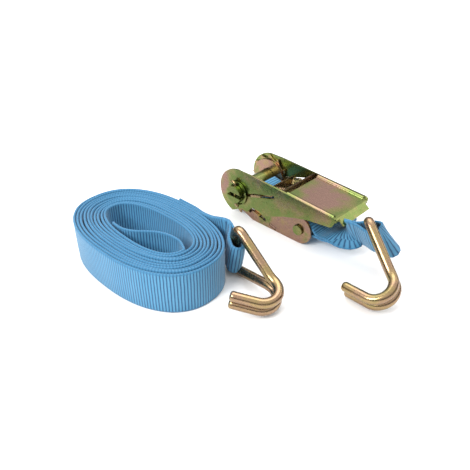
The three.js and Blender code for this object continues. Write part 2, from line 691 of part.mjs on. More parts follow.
add('frame_plate_near', framePlate(-1), zincPink);
add('frame_plate_far', framePlate(1), zincPink);
add('frame_cross_plate', crossPlate(), zincPink);
add('ratchet_wheel_near', ratchetWheel(-1), zincGold);
add('ratchet_wheel_far', ratchetWheel(1), zincGold);
add('spindle_half_upper', halfShaft(1), zincGreen);
add('spindle_half_lower', halfShaft(-1), zincGreen);
add('spindle_washer_near', washer(-1), zincGreen);
add('spindle_washer_far', washer(1), zincGreen);
add('cotter_pin_near', cotterPin(-1), zincGold);
add('cotter_pin_far', cotterPin(1), zincGold);
add('handle', handle(), zincGreen);
add('handle_pawl', handlePawl(), zincGold);
add('handle_spring_seat', handleSeat(), zincGold);
add('frame_pawl', framePawl(), zincGold);
for (const [end, y] of [['near', -prongOffset], ['far', prongOffset]]) {
  const handleFrom = pawlEdge(handlePawlSlot.drop) + handlePawlLength + gap;
  add(`handle_spring_${end}`, spring(pawlAngle, handlePawlSlot.drop, y, handleFrom,
    handleSeatAlong - 0.7 - gap), springSteel);
  const frameFrom = pawlEdge(framePawlDrop) + framePawlLength + gap;
  add(`frame_spring_${end}`, spring(framePawlAngle, framePawlDrop, y, frameFrom,
    crossPlateSlot.from - 1.05 - gap), springSteel);
}
add('anchor_bolt', anchorBolt(), zincGreen);
add('anchor_nut', anchorNut(), zincGreen);
add('anchor_sleeve', anchorSleeve(), zincPink);
for (const [name, place] of Object.entries(hookPlaces)) add(name, hook(), zincGold, hookMatrix(place));

add('long_strap', longStrap(), webbingBlue);
add('short_strap', shortStrap(), webbingBlue);

// The origin is the middle of the footprint, on the surface that the lowest points rest on.
const bounds = new THREE.Box3().setFromObject(group, true);
group.position.set(-(bounds.min.x + bounds.max.x) / 2, -(bounds.min.y + bounds.max.y) / 2, -bounds.min.z);

export default group;
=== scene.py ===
"""Looks of a ratchet tie down: plated steel ratchet, wire hooks and blue webbing, on a pale floor."""

import json
from collections import namedtuple
from math import ceil, cos, pi, radians, sin, sqrt

import bmesh
import bpy
from bpy.props import FloatProperty, FloatVectorProperty, IntProperty, PointerProperty
from mathutils import Matrix, Vector

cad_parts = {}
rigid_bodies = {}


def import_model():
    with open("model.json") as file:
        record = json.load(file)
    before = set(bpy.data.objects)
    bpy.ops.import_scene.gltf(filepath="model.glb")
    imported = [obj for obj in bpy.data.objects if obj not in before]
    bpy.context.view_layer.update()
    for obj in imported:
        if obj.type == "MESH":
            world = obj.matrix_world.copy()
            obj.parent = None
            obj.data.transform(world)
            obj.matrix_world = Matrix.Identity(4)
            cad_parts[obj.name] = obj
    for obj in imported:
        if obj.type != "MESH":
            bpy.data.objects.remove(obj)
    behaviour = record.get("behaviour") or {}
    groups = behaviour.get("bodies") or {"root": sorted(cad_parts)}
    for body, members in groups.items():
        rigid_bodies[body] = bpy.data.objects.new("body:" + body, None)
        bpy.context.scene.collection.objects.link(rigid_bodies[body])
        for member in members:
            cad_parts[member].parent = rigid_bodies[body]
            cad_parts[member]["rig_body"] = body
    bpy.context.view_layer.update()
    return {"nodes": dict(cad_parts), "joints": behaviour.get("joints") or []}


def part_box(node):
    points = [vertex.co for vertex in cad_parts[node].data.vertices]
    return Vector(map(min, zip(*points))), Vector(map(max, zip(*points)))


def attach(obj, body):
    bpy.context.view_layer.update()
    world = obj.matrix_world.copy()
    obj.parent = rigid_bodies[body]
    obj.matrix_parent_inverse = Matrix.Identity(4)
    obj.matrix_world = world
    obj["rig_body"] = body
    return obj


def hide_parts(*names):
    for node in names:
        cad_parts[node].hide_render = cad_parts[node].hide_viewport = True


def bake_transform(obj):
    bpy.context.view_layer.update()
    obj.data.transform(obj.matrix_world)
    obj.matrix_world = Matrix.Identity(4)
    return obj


bl_info = {
    "name": "Ratchet Tie Down",
    "version": (1, 0, 0),
    "blender": (4, 5, 0),
    "location": "View3D > Sidebar > Tie Down",
    "description": "Builds the plated steel, webbing, springs and stage of a ratchet tie down",
    "category": "Object",
}

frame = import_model()
JOINTS = {joint["name"]: joint for joint in frame["joints"]}
SPINDLE = Vector(JOINTS["handle_turn"]["pos_m"])


# ---- Settings ------------------------------------------------------------------------------------
def length_property(label, text, default):
    return FloatProperty(name=label, description=text, default=default, unit="LENGTH", precision=4)


def colour_property(label, text, default):
    return FloatVectorProperty(
        name=label, description=text, default=default, subtype="COLOR", size=3, min=0, max=1
    )


def angle_property(label, text, default):
    return FloatProperty(name=label, description=text, default=radians(default), subtype="ANGLE")


class WebbingSettings(bpy.types.PropertyGroup):
    """Sizes and colours of the woven webbing."""

    width: length_property("Width", "Width of the webbing", 0.025)
    thickness: length_property("Thickness", "Thickness of one layer", 0.0016)
    looped_width: length_property("Looped width", "Width where a hook's legs draw it in", 0.0212)
    rib_pitch: length_property("Rib pitch", "From one cross rib to the next", 0.00165)
    thread_pitch: length_property("Thread pitch", "From one lengthwise thread to the next", 0.0009)
    colour: colour_property("Colour", "Colour of the ribs' crowns", (0.055, 0.25, 0.44))
    # Painted shade: the colour that the grooves between the ribs, and the rounded edges, are darkened to
    shade: colour_property("Shade", "Colour between the ribs", (0.006, 0.055, 0.14))


class CoilSettings(bpy.types.PropertyGroup):
    """Shape of the long strap's winding."""

    half_length: length_property("Half length", "Half the long way across the coil", 0.0522)
    half_width: length_property("Half width", "Half the short way across the coil", 0.0328)
    band: length_property("Band", "Thickness of all the turns together", 0.0198)
    squareness: FloatProperty(name="Squareness", description="Power of the oval", default=0.86)
    turns: IntProperty(name="Turns", description="Whole turns in the coil", default=10)


class HookSettings(bpy.types.PropertyGroup):
    """Shape of the bent wire hooks."""

    wire: length_property("Wire", "Radius of the wire", 0.0028)
    bar_half: length_property("Half bar", "Half the width over the bar", 0.0155)
    leg: length_property("Leg", "From the bar to the start of the bend", 0.032)
    bend: length_property("Bend", "Centre-line radius of the bend", 0.009)
    turn: angle_property("Turn", "Angle that the wire is bent through", 143)
    tip: length_property("Tip", "Straight end after the bend", 0.0145)
    pitch: angle_property("Pitch", "Fall of the legs towards the bend", 13.4)
    lean: angle_property("Lean", "Lean of a hook that lies free", 15.7)


class SteelSettings(bpy.types.PropertyGroup):
    """Edges and plating colours of the steel."""

    edge: length_property("Edge", "Rounding of a stamped edge", 0.00025)
    gold: colour_property("Gold", "Gold tint of the plating", (0.33, 0.235, 0.115))
    olive: colour_property("Olive", "Green tint of the plating", (0.165, 0.215, 0.062))
    rose: colour_property("Rose", "Pink tint of the plating", (0.31, 0.185, 0.145))


class SpringSettings(bpy.types.PropertyGroup):
    """Wire and turns of the pawl springs."""

    wire: length_property("Wire", "Radius of the spring wire", 0.00038)
    radius: length_property("Radius", "Outer radius of a spring", 0.0026)
    turns: FloatProperty(name="Turns", description="Turns of each spring", default=7)


class StageSettings(bpy.types.PropertyGroup):
    """Camera, light and floor."""

    camera: FloatVectorProperty(
        name="Camera", description="Camera place", default=SPINDLE + Vector((0.2039, -0.2313, 0.166)),
        subtype="XYZ",
    )
    heading: angle_property("Heading", "Direction the camera looks, from +X", 133.95)
    down: angle_property("Down", "How far the camera looks down", 34)
    lens: FloatProperty(name="Lens", description="Focal length in millimetres", default=39.83)
    floor: colour_property("Floor", "Colour of the floor", (0.93, 0.93, 0.93))


# ---- Shader maths --------------------------------------------------------------------------------
class Signal:
    """One socket of a shader tree. Arithmetic on it adds the nodes that work it out."""

    def __init__(self, tree, socket):
        self.tree = tree
        self.socket = socket

    def _math(self, operation, *values):
        return self.tree.node("ShaderNodeMath", {"operation": operation}, *values)

    def __add__(self, other):
        return self._math("ADD", self, other)

    def __radd__(self, other):
        return self._math("ADD", other, self)

    def __sub__(self, other):
        return self._math("SUBTRACT", self, other)

    def __rsub__(self, other):
        return self._math("SUBTRACT", other, self)

    def __mul__(self, other):
        return self._math("MULTIPLY", self, other)

    def __rmul__(self, other):
        return self._math("MULTIPLY", other, self)

    def __truediv__(self, other):
        return self._math("DIVIDE", self, other)

    def __pow__(self, other):
        return self._math("POWER", self, other)

    def sine(self):
        return self._math("SINE", self)

    def size(self):
        return self._math("ABSOLUTE", self)

    def above(self, low, high):
        """0 below low, 1 above high, smooth between."""
        settings = {"interpolation_type": "SMOOTHSTEP"}
        return self.tree.node("ShaderNodeMapRange", settings, self, low, high, 0.0, 1.0)


class Shader:
    """The shader tree of a material or of the world, whose nodes are made by calls."""

    def __init__(self, owner):
        owner.use_nodes = True
        self.owner = owner
        self.tree = owner.node_tree
        self.tree.nodes.clear()

    def node(self, kind, settings=None, *values, out=0, **named):
        """Adds a node with its settings first, then its sockets in order or by name."""
        made = self.tree.nodes.new(kind)
        for key, value in (settings or {}).items():
            setattr(made, key, value)
        sockets = [*enumerate(values), *((key.replace("_", " "), v) for key, v in named.items())]
        for key, value in sockets:
            if value is None:
                continue
            if isinstance(value, Signal):
                self.tree.links.new(value.socket, made.inputs[key])
            else:
                made.inputs[key].default_value = value
        return Signal(self, made.outputs[out])

    def ramp(self, factor, stops):
        """A colour ramp with (place, colour) stops."""
        made = self.tree.nodes.new("ShaderNodeValToRGB")
        elements = made.color_ramp.elements
        while len(elements) < len(stops):
            elements.new(0.5)
        for element, (place, colour) in zip(elements, stops):
            element.position = place
            element.color = (*colour, 1)
        self.tree.links.new(factor.socket, made.inputs["Fac"])
        return Signal(self, made.outputs["Color"])

    def mix(self, factor, first, second, blend="MIX"):
        """Mixes two colours."""
        made = self.tree.nodes.new("ShaderNodeMix")
        made.data_type = "RGBA"
        made.blend_type = blend
        for key, value in ((0, factor), (6, first), (7, second)):
            if isinstance(value, Signal):
                self.tree.links.new(value.socket, made.inputs[key])
            else:
                made.inputs[key].default_value = value if key == 0 else (*value, 1)
        return Signal(self, made.outputs[2])

    def place(self):
        """The point's place on the object, in metres."""
        return self.node("ShaderNodeTexCoord", out="Object")

    def stretched(self, vector, scale):
        """A vector multiplied along each axis."""
        return self.node("ShaderNodeVectorMath", {"operation": "MULTIPLY"}, vector, scale)

    def noise(self, vector, scale, detail=3.0, roughness=0.5):
        return self.node(
            "ShaderNodeTexNoise", None, Vector=vector, Scale=scale, Detail=detail, Roughness=roughness
        )

    def bump(self, height, distance, strength=1.0):
        return self.node("ShaderNodeBump", None, Height=height, Distance=distance, Strength=strength)

    def finish(self, **inputs):
        """Adds the surface shader and the output."""
        shader = self.node("ShaderNodeBsdfPrincipled", None, **inputs)
        output = self.tree.nodes.new("ShaderNodeOutputMaterial")
        self.tree.links.new(shader.socket, output.inputs["Surface"])
        return self.owner


# ---- Materials -----------------------------------------------------------------------------------
def blended(first, second, share):
    return tuple(a + (b - a) * share for a, b in zip(first, second))


def plated_steel(name, stops, flushes=(), offset=(0, 0, 0), patch=70.0, roughness=0.2):
    """Zinc plating with drifting tints, faint brushing and small knocks. A flush is a place that
    leans to one end of the run of tints: its middle, its reach and how far it leans."""
    steel = Shader(bpy.data.materials.new(name))
    here = steel.place()
    moved = steel.node("ShaderNodeVectorMath", {"operation": "ADD"}, here, offset)
    clouds = steel.noise(moved, patch, 2.5, 0.55)
    fine = steel.noise(moved, patch * 9, 4.0, 0.6)
    lean = clouds + (fine - 0.5) * 0.2
    for middle, reach, amount in flushes:
        far = steel.node("ShaderNodeVectorMath", {"operation": "DISTANCE"}, here, middle, out="Value")
        lean = lean + (1 - far.above(reach * 0.4, reach)) * amount
    tint = steel.ramp(lean, stops)
    brushed = steel.noise(steel.stretched(moved, (60.0, 900.0, 900.0)), 1.0, 3.0, 0.6)
    specks = steel.noise(moved, 1500.0, 2.0, 0.5)
    darker = steel.mix(specks.above(0.56, 0.74) * 0.35, tint, (0.10, 0.08, 0.05))
    rough = fine * 0.16 + brushed * 0.12 + roughness - 0.08
    knocks = steel.noise(moved, 260.0, 3.0, 0.55)
    height = knocks * 0.55 + brushed * 0.25 + specks * 0.2
    return steel.finish(
        Base_Color=darker,
        Metallic=1.0,
        Roughness=rough,
        Normal=steel.bump(height, 0.00007, 0.45),
    )


def steel_stops(steel, kind):
    """The run of tints on one kind of piece."""
    gold, olive, rose = (tuple(colour) for colour in (steel.gold, steel.olive, steel.rose))
    runs = {
        "handle": (
            (0.30, blended(olive, gold, 0.25)), (0.48, olive), (0.60, blended(olive, gold, 0.5)),
            (0.80, rose),
        ),
        "frame": ((0.30, gold), (0.44, rose), (0.58, blended(rose, gold, 0.5)), (0.72, olive)),
        "gold": (
            (0.28, blended(gold, olive, 0.6)), (0.44, gold), (0.58, blended(gold, rose, 0.6)),
            (0.74, gold),
        ),
    }
    return runs[kind]


def woven_webbing(settings, name="blue_webbing"):
    """Cross ribs with lengthwise threads over them, on the strap's own length and width. Painted shade
    darkens the grooves between ribs and threads, and the strap's rounded edges.
    """
    cloth = Shader(bpy.data.materials.new(name))
    flat = cloth.node("ShaderNodeUVMap", {"uv_map": "woven"})
    along = cloth.node("ShaderNodeSeparateXYZ", None, flat, out="X")
    across = cloth.node("ShaderNodeSeparateXYZ", None, flat, out="Y")
    wobble = cloth.noise(cloth.stretched(flat, (300.0, 160.0, 1.0)), 1.0, 2.0)
    rib = ((along / settings.rib_pitch + (wobble - 0.5) * 0.25) * pi).sine().size()
    thread = (across / settings.thread_pitch * pi).sine().size()
    # Mask of the strap's rounded edges, which get painted shade below
    edge = across.size().above(settings.width * 0.44, settings.width * 0.47)
    woven = rib ** 0.7 * (0.8 + thread * 0.2)
    fleck = cloth.noise(cloth.place(), 2600.0, 2.0)
    # Painted shade mask: high on the crowns of ribs and threads, low in the grooves between them
    painted_rib_shading = woven * (0.8 + fleck * 0.4)
    fade = cloth.noise(cloth.place(), 60.0, 2.0)
    crown = cloth.mix(fade * 0.3, tuple(settings.colour), blended(settings.colour, (0.5, 0.8, 0.95), 0.35))
    # Painted shade: the grooves are mixed towards the shade colour, and the crowns keep the yarn colour
    colour = cloth.mix(painted_rib_shading.above(0.15, 0.95), tuple(settings.shade), crown)
    # Painted shade: the rounded edges, where the layers of the coil show, are darkened towards the shade
    # colour
    colour_with_edge_shade = cloth.mix(edge * 0.75, colour, blended(settings.colour, settings.shade, 0.45))
    height = woven + fleck * 0.12
    return cloth.finish(
        Base_Color=colour_with_edge_shade,
        Roughness=0.62 + fleck * 0.2,
        Normal=cloth.bump(height, 0.00022, 0.9),
        Sheen_Weight=0.25,
        Sheen_Roughness=0.4,
    )


def pale_floor(settings):
    floor = Shader(bpy.data.materials.new("pale_floor"))
    mottle = floor.noise(floor.place(), 40.0, 2.0)
    colour = floor.mix(mottle * 0.02, tuple(settings.floor), (0.85, 0.85, 0.86))
    return floor.finish(Base_Color=colour, Roughness=0.9)


# ---- Mesh helpers --------------------------------------------------------------------------------
def piece_from(name, vertices, faces, material, body, smooth=True):
    """A mesh piece that rides on a body."""
    mesh = bpy.data.meshes.new(name)
    mesh.from_pydata(vertices, [], faces)
    mesh.materials.append(material)
    mesh.polygons.foreach_set("use_smooth", [smooth] * len(mesh.polygons))
    piece = bpy.data.objects.new(name, mesh)
    bpy.context.scene.collection.objects.link(piece)
    if body:
        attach(piece, body)
    return piece


def grid_faces(rings, sides, offset=0):
    """Faces between rings of points, each ring closed on itself."""
    faces = []
    for ring in range(rings - 1):
        for side in range(sides):
            a = offset + ring * sides + side
            b = offset + ring * sides + (side + 1) % sides
            faces.append((a, b, b + sides, a + sides))
    return faces


def stamped(node, material, edge, angle=40.0, smooth=32.0):
    """A CAD node's shape with its stamped edges rounded."""
    source = frame["nodes"][node]
    shape = bmesh.new()
    shape.from_mesh(source.data)
    bmesh.ops.remove_doubles(shape, verts=shape.verts, dist=0.00001)
    bmesh.ops.dissolve_limit(shape, angle_limit=radians(1), verts=shape.verts, edges=shape.edges)
    sharp = [
        e for e in shape.edges
        if len(e.link_faces) == 2 and e.is_convex and e.calc_face_angle() > radians(angle)
    ]
    bmesh.ops.bevel(
        shape, geom=sharp, offset=edge, segments=2, profile=0.5, affect="EDGES", clamp_overlap=True
    )
    bmesh.ops.triangulate(shape, faces=[f for f in shape.faces if len(f.verts) > 4])
    mesh = bpy.data.meshes.new(node + "_steel")
    shape.to_mesh(mesh)
    shape.free()
    mesh.materials.clear()
    mesh.materials.append(material)
    mesh.shade_smooth()
    mesh.set_sharp_from_angle(angle=radians(smooth))
    piece = bpy.data.objects.new(node + "_steel", mesh)
    bpy.context.scene.collection.objects.link(piece)
    even = piece.modifiers.new("even_shading", "WEIGHTED_NORMAL")
    even.keep_sharp = True
    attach(piece, source["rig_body"])
    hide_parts(node)
    return piece


# A wire's rounded end: how far back from the tip in radii, and the share of the radius there.
ROUND_END = ((0.0, 0.55), (0.14, 0.86), (0.42, 1.0))
END_CLEARANCE = 0.45  # in radii, the stretch at each tip that the rounded end takes over


def swept(points, radius, sides, round_ends=True):
    """Vertices and faces of a round section carried along points without twisting."""
    count = len(points)
    tangents = [
        (points[min(i + 1, count - 1)] - points[max(i - 1, 0)]).normalized() for i in range(count)
    ]
    normal = tangents[0].orthogonal().normalized()
    rings = []
    for i, point in enumerate(points):
        normal = (normal - tangents[i] * normal.dot(tangents[i])).normalized()
        rings.append((point, tangents[i], normal, 1.0))
    if round_ends:
        first, last = rings[0], rings[-1]
        clear = radius * END_CLEARANCE
        start = [
            (first[0] + first[1] * radius * back, *first[1:3], share) for back, share in ROUND_END
        ]
        inner = [
            ring for ring in rings
            if (ring[0] - first[0]).length > clear and (ring[0] - last[0]).length > clear
        ]
        end = [
            (last[0] - last[1] * radius * back, *last[1:3], share)
            for back, share in reversed(ROUND_END)
        ]
        rings = [*start, *inner, *end]
    vertices = []
    for point, tangent, normal, share in rings:
        side = tangent.cross(normal)
        for k in range(sides):
            angle = 2 * pi * k / sides
            vertices.append(point + (normal * cos(angle) + side * sin(angle)) * radius * share)
    faces = grid_faces(len(rings), sides)
    faces.append(tuple(reversed(range(sides))))
    faces.append(tuple(range((len(rings) - 1) * sides, len(rings) * sides)))
    return vertices, faces


def quadratic(start, control, end, steps):
    """Points of a curve with one control point, its start left out."""
    return [
        start * (1 - t) ** 2 + control * 2 * t * (1 - t) + end * t * t
        for t in (step / steps for step in range(1, steps + 1))
    ]


def cubic(start, first, second, end, steps):
    """Points of a curve with two control points, both ends included."""
    return [
        start * (1 - t) ** 3 + first * 3 * t * (1 - t) ** 2 + second * 3 * t * t * (1 - t) + end * t ** 3
        for t in (step / steps for step in range(steps + 1))
    ]


def rounded_path(points, spacing):
    """Points a set distance apart on a smooth curve through the given ones."""
    dense = []
    last = len(points) - 1
    for i in range(last):
        before, here = points[max(i - 1, 0)], points[i]
        there, after = points[i + 1], points[min(i + 2, last)]
        steps = max(2, ceil((there - here).length / spacing * 2))
        for step in range(steps):
            t = step / steps
            dense.append(0.5 * (
                2 * here + (there - before) * t
                + (2 * before - 5 * here + 4 * there - after) * t * t
                + (3 * here - before - 3 * there + after) * t ** 3
            ))
    dense.append(points[-1])
    return dense


# ---- Hooks ---------------------------------------------------------------------------------------
HookPlace = namedtuple("HookPlace", "joint heading lean neck")
HOOKS = {
    "hook_long_strap": HookPlace("long_hook_swing", radians(-5), 0.2, -0.44),
    "hook_short_strap": HookPlace("short_hook_swing", radians(-38), 1.7, 0.85),
}


def hook_matrix(node, hooks):
    """The hook's own frame: x along its legs, z along its bar, the bend towards -y."""
    place = HOOKS[node]
    turned = Matrix.Rotation(place.heading, 4, "Z") @ Matrix.Rotation(hooks.pitch, 4, "Y")
    turned = turned @ Matrix.Rotation(place.lean * hooks.lean, 4, "X")
    return Matrix.Translation(JOINTS[place.joint]["pos_m"]) @ turned


def half_hook(hooks):
    """Points from beside the middle of the bar to one tip."""
    beside = hooks.wire + 0.0002
    corner = 0.0045
    bar_end = Vector((0, 0, hooks.bar_half - corner))
    leg_start = Vector((corner, 0, hooks.bar_half - 0.0016))
    leg_end = Vector((hooks.leg - 0.003, 0, beside + 0.00035))
    points = [bar_end * 0.5, bar_end]
    points += quadratic(bar_end, Vector((0, 0, hooks.bar_half)), leg_start, 8)
    near_end = leg_end.lerp(leg_start, 0.1)
    points += [leg_start.lerp(near_end, share / 5) for share in range(1, 6)]
    points += quadratic(near_end, leg_end, Vector((hooks.leg, 0, beside)), 6)
    steps = 28
    for step in range(1, steps + 1):
        angle = hooks.turn * step / steps
        points.append(Vector((
            hooks.leg + hooks.bend * sin(angle), -hooks.bend * (1 - cos(angle)), beside
        )))
    ahead = Vector((cos(hooks.turn), -sin(hooks.turn), 0))
    points += [points[-1] + ahead * hooks.tip * share / 6 for share in range(1, 7)]
    return points


def make_hook(node, hooks, steel_material):
    half = half_hook(hooks)
    other = [Vector((p.x, p.y, -p.z)) for p in reversed(half)]
    place = hook_matrix(node, hooks)
    points = [place @ point for point in [*other, Vector((0, 0, 0)), *half]]
    vertices, faces = swept(points, hooks.wire, 28)
    piece = piece_from(node + "_wire", vertices, faces, steel_material, frame["nodes"][node]["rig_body"])
    piece.data.set_sharp_from_angle(angle=radians(50))
    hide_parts(node)
    return piece


# ---- Webbing -------------------------------------------------------------------------------------
Station = namedtuple("Station", "point across width")
LOOP_NECK = 0.011  # from a hook's bar to where its loop's two layers meet
Loop = namedtuple("Loop", "slack skew end_width slide")
LOOPS = {
    "hook_long_strap": Loop(0.0045, 0.0, 0.0208, -0.0022),
    "hook_short_strap": Loop(0.0048, 0.34, 0.0235, -0.0015),
}


def strip_stations(stations, spacing):
    """The stations brought to an even spacing along a smooth curve."""
    points = [station.point for station in stations]
    distance = [0.0]
    for a, b in zip(points, points[1:]):
        distance.append(distance[-1] + (b - a).length)
    total = distance[-1]
    count = ceil(total / spacing)
    even = []
    i = 0
    for step in range(count + 1):
        goal = total * step / count
        while i < len(points) - 2 and distance[i + 1] < goal:
            i += 1
        t = (goal - distance[i]) / max(distance[i + 1] - distance[i], 1e-9)
        before, after = points[max(i - 1, 0)], points[min(i + 2, len(points) - 1)]
        here, there = points[i], points[i + 1]
        point = 0.5 * (
            2 * here + (there - before) * t
            + (2 * before - 5 * here + 4 * there - after) * t * t
            + (3 * here - before - 3 * there + after) * t ** 3
        )
        across = stations[i].across.lerp(stations[i + 1].across, t)
        width = stations[i].width + (stations[i + 1].width - stations[i].width) * t
        even.append(Station(point, across, width))
    return even


def strap_profile(width, thickness):
    """Half of a strap's section: places across its width, and how thick it is there."""
    half = width / 2
    edge = thickness / 2
    return [
        (-half, 0.0), (-half + edge * 0.35, edge * 0.62), (-half + edge * 1.1, edge * 0.94),
        (-half + edge * 2.6, edge * 0.86), (-half * 0.45, edge), (0.0, edge), (half * 0.45, edge),
        (half - edge * 2.6, edge * 0.86), (half - edge * 1.1, edge * 0.94),
        (half - edge * 0.35, edge * 0.62), (half, 0.0),
    ]


def make_strap(name, stations, settings, material, spacing=0.0016):
    """A woven strip along the stations, with its own length and width as UV, in metres."""
    even = strip_stations(stations, spacing)
    count = len(even)
    vertices, flat = [], []
    run = 0.0
    for i, station in enumerate(even):
        tangent = (even[min(i + 1, count - 1)].point - even[max(i - 1, 0)].point).normalized()
        across = (station.across - tangent * station.across.dot(tangent)).normalized()
        normal = tangent.cross(across)
        if i:
            run += (station.point - even[i - 1].point).length
        profile = strap_profile(station.width, settings.thickness)
        spread = settings.width / station.width
        cup = (settings.width - station.width) * 0.1
        for side in (1, -1):
            chosen = profile if side > 0 else profile[-2:0:-1]
            for place, thick in chosen:
                share = 2 * place / station.width
                spot = station.point + across * place + normal * (thick * side - cup * share * share)
                vertices.append(spot)
                flat.append((run, place * spread))
    sides = 2 * len(profile) - 2
    faces = grid_faces(count, sides)
    faces.append(tuple(reversed(range(sides))))
    faces.append(tuple(range((count - 1) * sides, count * sides)))
    piece = piece_from(name, vertices, faces, material, "frame")
    layer = piece.data.uv_layers.new(name="woven")
    for loop in piece.data.loops:
        layer.data[loop.index].uv = flat[loop.vertex_index]
    return piece, run


def turned_about(centre, radius, first, last, steps):
    """Points on a circle between two angles in degrees, both ends included."""
    angles = (radians(first + (last - first) * step / steps) for step in range(steps + 1))
    return [centre + Vector((radius * cos(angle), radius * sin(angle), 0)) for angle in angles]


def loop_outline(radius, neck, layer, slack):
    """A loop round an axis, in its own plane: in along the lower layer, round, back on the upper.
    It is slack beyond the axis."""
    lower = cubic(
        Vector((-neck, -layer / 2, 0)), Vector((-neck * 0.55, -layer / 2, 0)),
        Vector((-radius, -radius, 0)), Vector((0, -radius, 0)), 6,
    )
    upper = [Vector((p.x, -p.y, 0)) for p in reversed(lower)]
    return [*lower, *turned_about(Vector((slack, 0, 0)), radius, -90, 90, 12), *upper]


def doubled_run(curve, first_across, last_across, settings, twist_from=0.0):
    """The middle line of two layers: (point, across, normal, width) at each step."""
    last = len(curve) - 1
    line = []
    for i, point in enumerate(curve):
        tangent = (curve[min(i + 1, last)] - curve[max(i - 1, 0)]).normalized()
        t = max(0.0, (i / last - twist_from) / (1 - twist_from))
        share = t * t * (3 - 2 * t)
        across = first_across.lerp(last_across, share)
        across = (across - tangent * across.dot(tangent)).normalized()
        width = settings.width + (settings.looped_width - settings.width) * min(1.0, t * 2)
        line.append((point, across, tangent.cross(across), width))
    return line


def layer_of(line, offset):
    return [Station(point + normal * offset, across, width) for point, across, normal, width in line]


def hook_loop(node, hooks, settings):
    """The stations round a hook's bar, and the loop's frame."""
    loop = LOOPS[node]
    place = hook_matrix(node, hooks) @ Matrix.Rotation(HOOKS[node].neck, 4, "Z")
    place = place @ Matrix.Translation((0, 0, loop.slide))
    radius = hooks.wire + 0.0002 + settings.thickness / 2
    turned = place.to_3x3()
    bar = (turned @ Vector((0, 0, 1))).normalized()
    along = (turned @ Vector((1, 0, 0))).normalized()
    stations = []
    for point in loop_outline(radius, LOOP_NECK, settings.thickness * 1.05, loop.slack):
        share = min(1.0, max(0.0, point.x / (loop.slack + radius)))
        across = (bar - along * loop.skew * share).normalized()
        width = settings.looped_width + (loop.end_width - settings.looped_width) * share
        stations.append(Station(place @ point, across, width))
    return stations, place, bar


def coil_centre():
    low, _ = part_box("long_strap")
    return Vector((low.x + 0.0507, low.y + 0.0315, 0))


def oval_point(coil, angle, inward):
    c, s = cos(angle), sin(angle)
    reach_x = (coil.half_length - inward * 1.12) * abs(c) ** coil.squareness
    reach_y = (coil.half_width - inward) * abs(s) ** coil.squareness
    return coil_centre() + Vector((reach_x * (1 if c >= 0 else -1), reach_y * (1 if s >= 0 else -1), 0))


def coil_stations(coil, settings):
    """From the free end in the middle, out through the turns, to where the strap leaves the coil."""
    low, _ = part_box("long_strap")
    up = Vector((0, 0, 1))
    middle = low.z + settings.width / 2
    layer = settings.thickness
    steps = 72
    total = coil.turns * steps
    pitch = (coil.band - layer) / coil.turns
    stations = []
    centre = coil_centre()
    free_end = (
        (-0.0180, -0.0101), (-0.0125, -0.0105), (-0.0072, -0.0096), (-0.002, -0.0068),
        (0.003, -0.0025), (0.008, 0.0012), (0.0135, 0.0034), (0.019, 0.0042), (0.024, 0.0038),
    )
    for x, y in free_end:
        stations.append(Station(centre + Vector((x, y, middle)), up, settings.width))
    free_end_steps = 18  # the free end stands in for the first quarter turn
    for i in range(free_end_steps, total + 1):
        turn = i / steps
        angle = pi / 2 - 2 * pi * (turn - coil.turns)
        inward = layer / 2 + pitch * (coil.turns - turn)
        drift = 0.00022 * sin(3 * angle + 1.7 * sin(turn * 1.3)) * min(1.0, inward / 0.004)
        point = oval_point(coil, angle, inward + drift)
        lift = 0.0004 * sin(turn * 2.4) + 0.0003 * sin(angle * 2 + turn)
        point.z = middle + max(0.0, lift)
        stations.append(Station(point, up, settings.width))
    return stations


def long_strap_stations(coil, hooks, settings):
    up = Vector((0, 0, 1))
    stations = coil_stations(coil, settings)
    loop, place, bar = hook_loop("hook_long_strap", hooks, settings)
    along = (place.to_3x3() @ Vector((1, 0, 0))).normalized()
    leave = stations[-1].point
    layer = settings.thickness
    start = leave + Vector((0.006, layer * 0.45, 0))
    end = place @ Vector((-LOOP_NECK, 0, 0))
    curve = cubic(start, start + Vector((0.010, -0.0006, 0)), end - along * 0.003, end, 16)
    line = doubled_run(curve, up, bar, settings)
    stations += layer_of(line, layer * 0.52)[:-1]
    stations += loop
    back = list(reversed(layer_of(line, -layer * 0.52)))[1:]
    stations += back
    tail = back[-1].point
    for step in range(1, 6):
        away = step * 0.0034
        sway = 0.0002 * sin(step) + 0.00002 * step * step
        stations.append(Station(tail + Vector((-away, sway, 0)), up, settings.width))
    return stations


